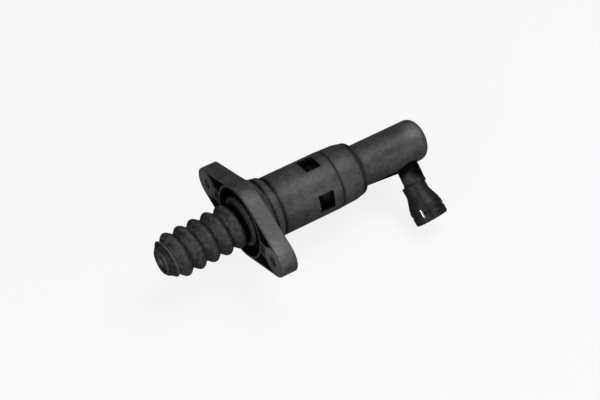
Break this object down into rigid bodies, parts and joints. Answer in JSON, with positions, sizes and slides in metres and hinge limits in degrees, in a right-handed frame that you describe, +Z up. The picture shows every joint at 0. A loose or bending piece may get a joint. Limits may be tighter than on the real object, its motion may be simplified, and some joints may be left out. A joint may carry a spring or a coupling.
{
  "type": "clutch slave cylinder",
  "caption": "Plastic hydraulic cylinder with a bolt-down flange, rubber bellows over a pushrod, windowed barrel and a side port with a quick connector.",
  "frame": {"origin": "centre of the flange's front face, on the cylinder's axis", "axes": "+X along the axis from the pushrod to the closed end, +Y from the lower to the upper ear of the picture, +Z up; the side port leans to -Y and -Z"},
  "size_m": [0.1971, 0.1016, 0.0696],
  "materials": {
    "body_plastic": "satin, glass filled",
    "guide_plastic": "satin",
    "piston_plastic": "smooth",
    "bearing_plastic": "smooth",
    "cap_plastic": "satin",
    "boot_rubber": "matte",
    "seal_rubber": "matte",
    "bush_steel": "plain",
    "rod_steel": "ground",
    "spring_steel": "drawn",
    "clip_steel": "bright"
  },
  "bodies": {
    "housing": {"mounting_sleeve": "body_plastic", "flange_bush_lower": "bush_steel", "flange_bush_upper": "bush_steel", "rear_collar": "body_plastic", "pressure_cylinder": "body_plastic", "guide_bush": "guide_plastic", "wiper_seal": "seal_rubber", "boot": "boot_rubber", "preload_spring": "spring_steel", "port_connector": "body_plastic", "connector_seal": "seal_rubber", "pipe_seal": "seal_rubber", "seal_retainer": "guide_plastic"},
    "piston_group": {"piston": "piston_plastic", "guide_ring": "bearing_plastic", "ball_seat": "guide_plastic", "seat_ring": "spring_steel", "primary_cup": "seal_rubber", "backup_washer": "guide_plastic", "spring_seat": "guide_plastic"},
    "rod": {"pushrod": "rod_steel", "rod_end_cap": "cap_plastic"},
    "clip": {"wire_clip": "clip_steel"}
  },
  "joints": [
    {"name": "piston_slide", "type": "slide", "parent": "housing", "child": "piston_group", "axis": [1, 0, 0], "range_m": [0, 0.024], "stiffness_N_per_m": 1200, "springref_m": -0.015, "deforming": ["boot", "preload_spring"]},
    {"name": "rod_swivel", "type": "hinge", "parent": "piston_group", "child": "rod", "pos_m": [0.044, 0, 0], "axis": [0, 0, 1], "range_deg": [-1.2, 1.2], "stiffness_Nm_per_rad": 0.3, "deforming": ["boot"]},
    {"name": "clip_slide", "type": "slide", "parent": "housing", "child": "clip", "axis": [-0.3246, -0.6086, 0.7241], "range_m": [0, 0.003]}
  ]
}
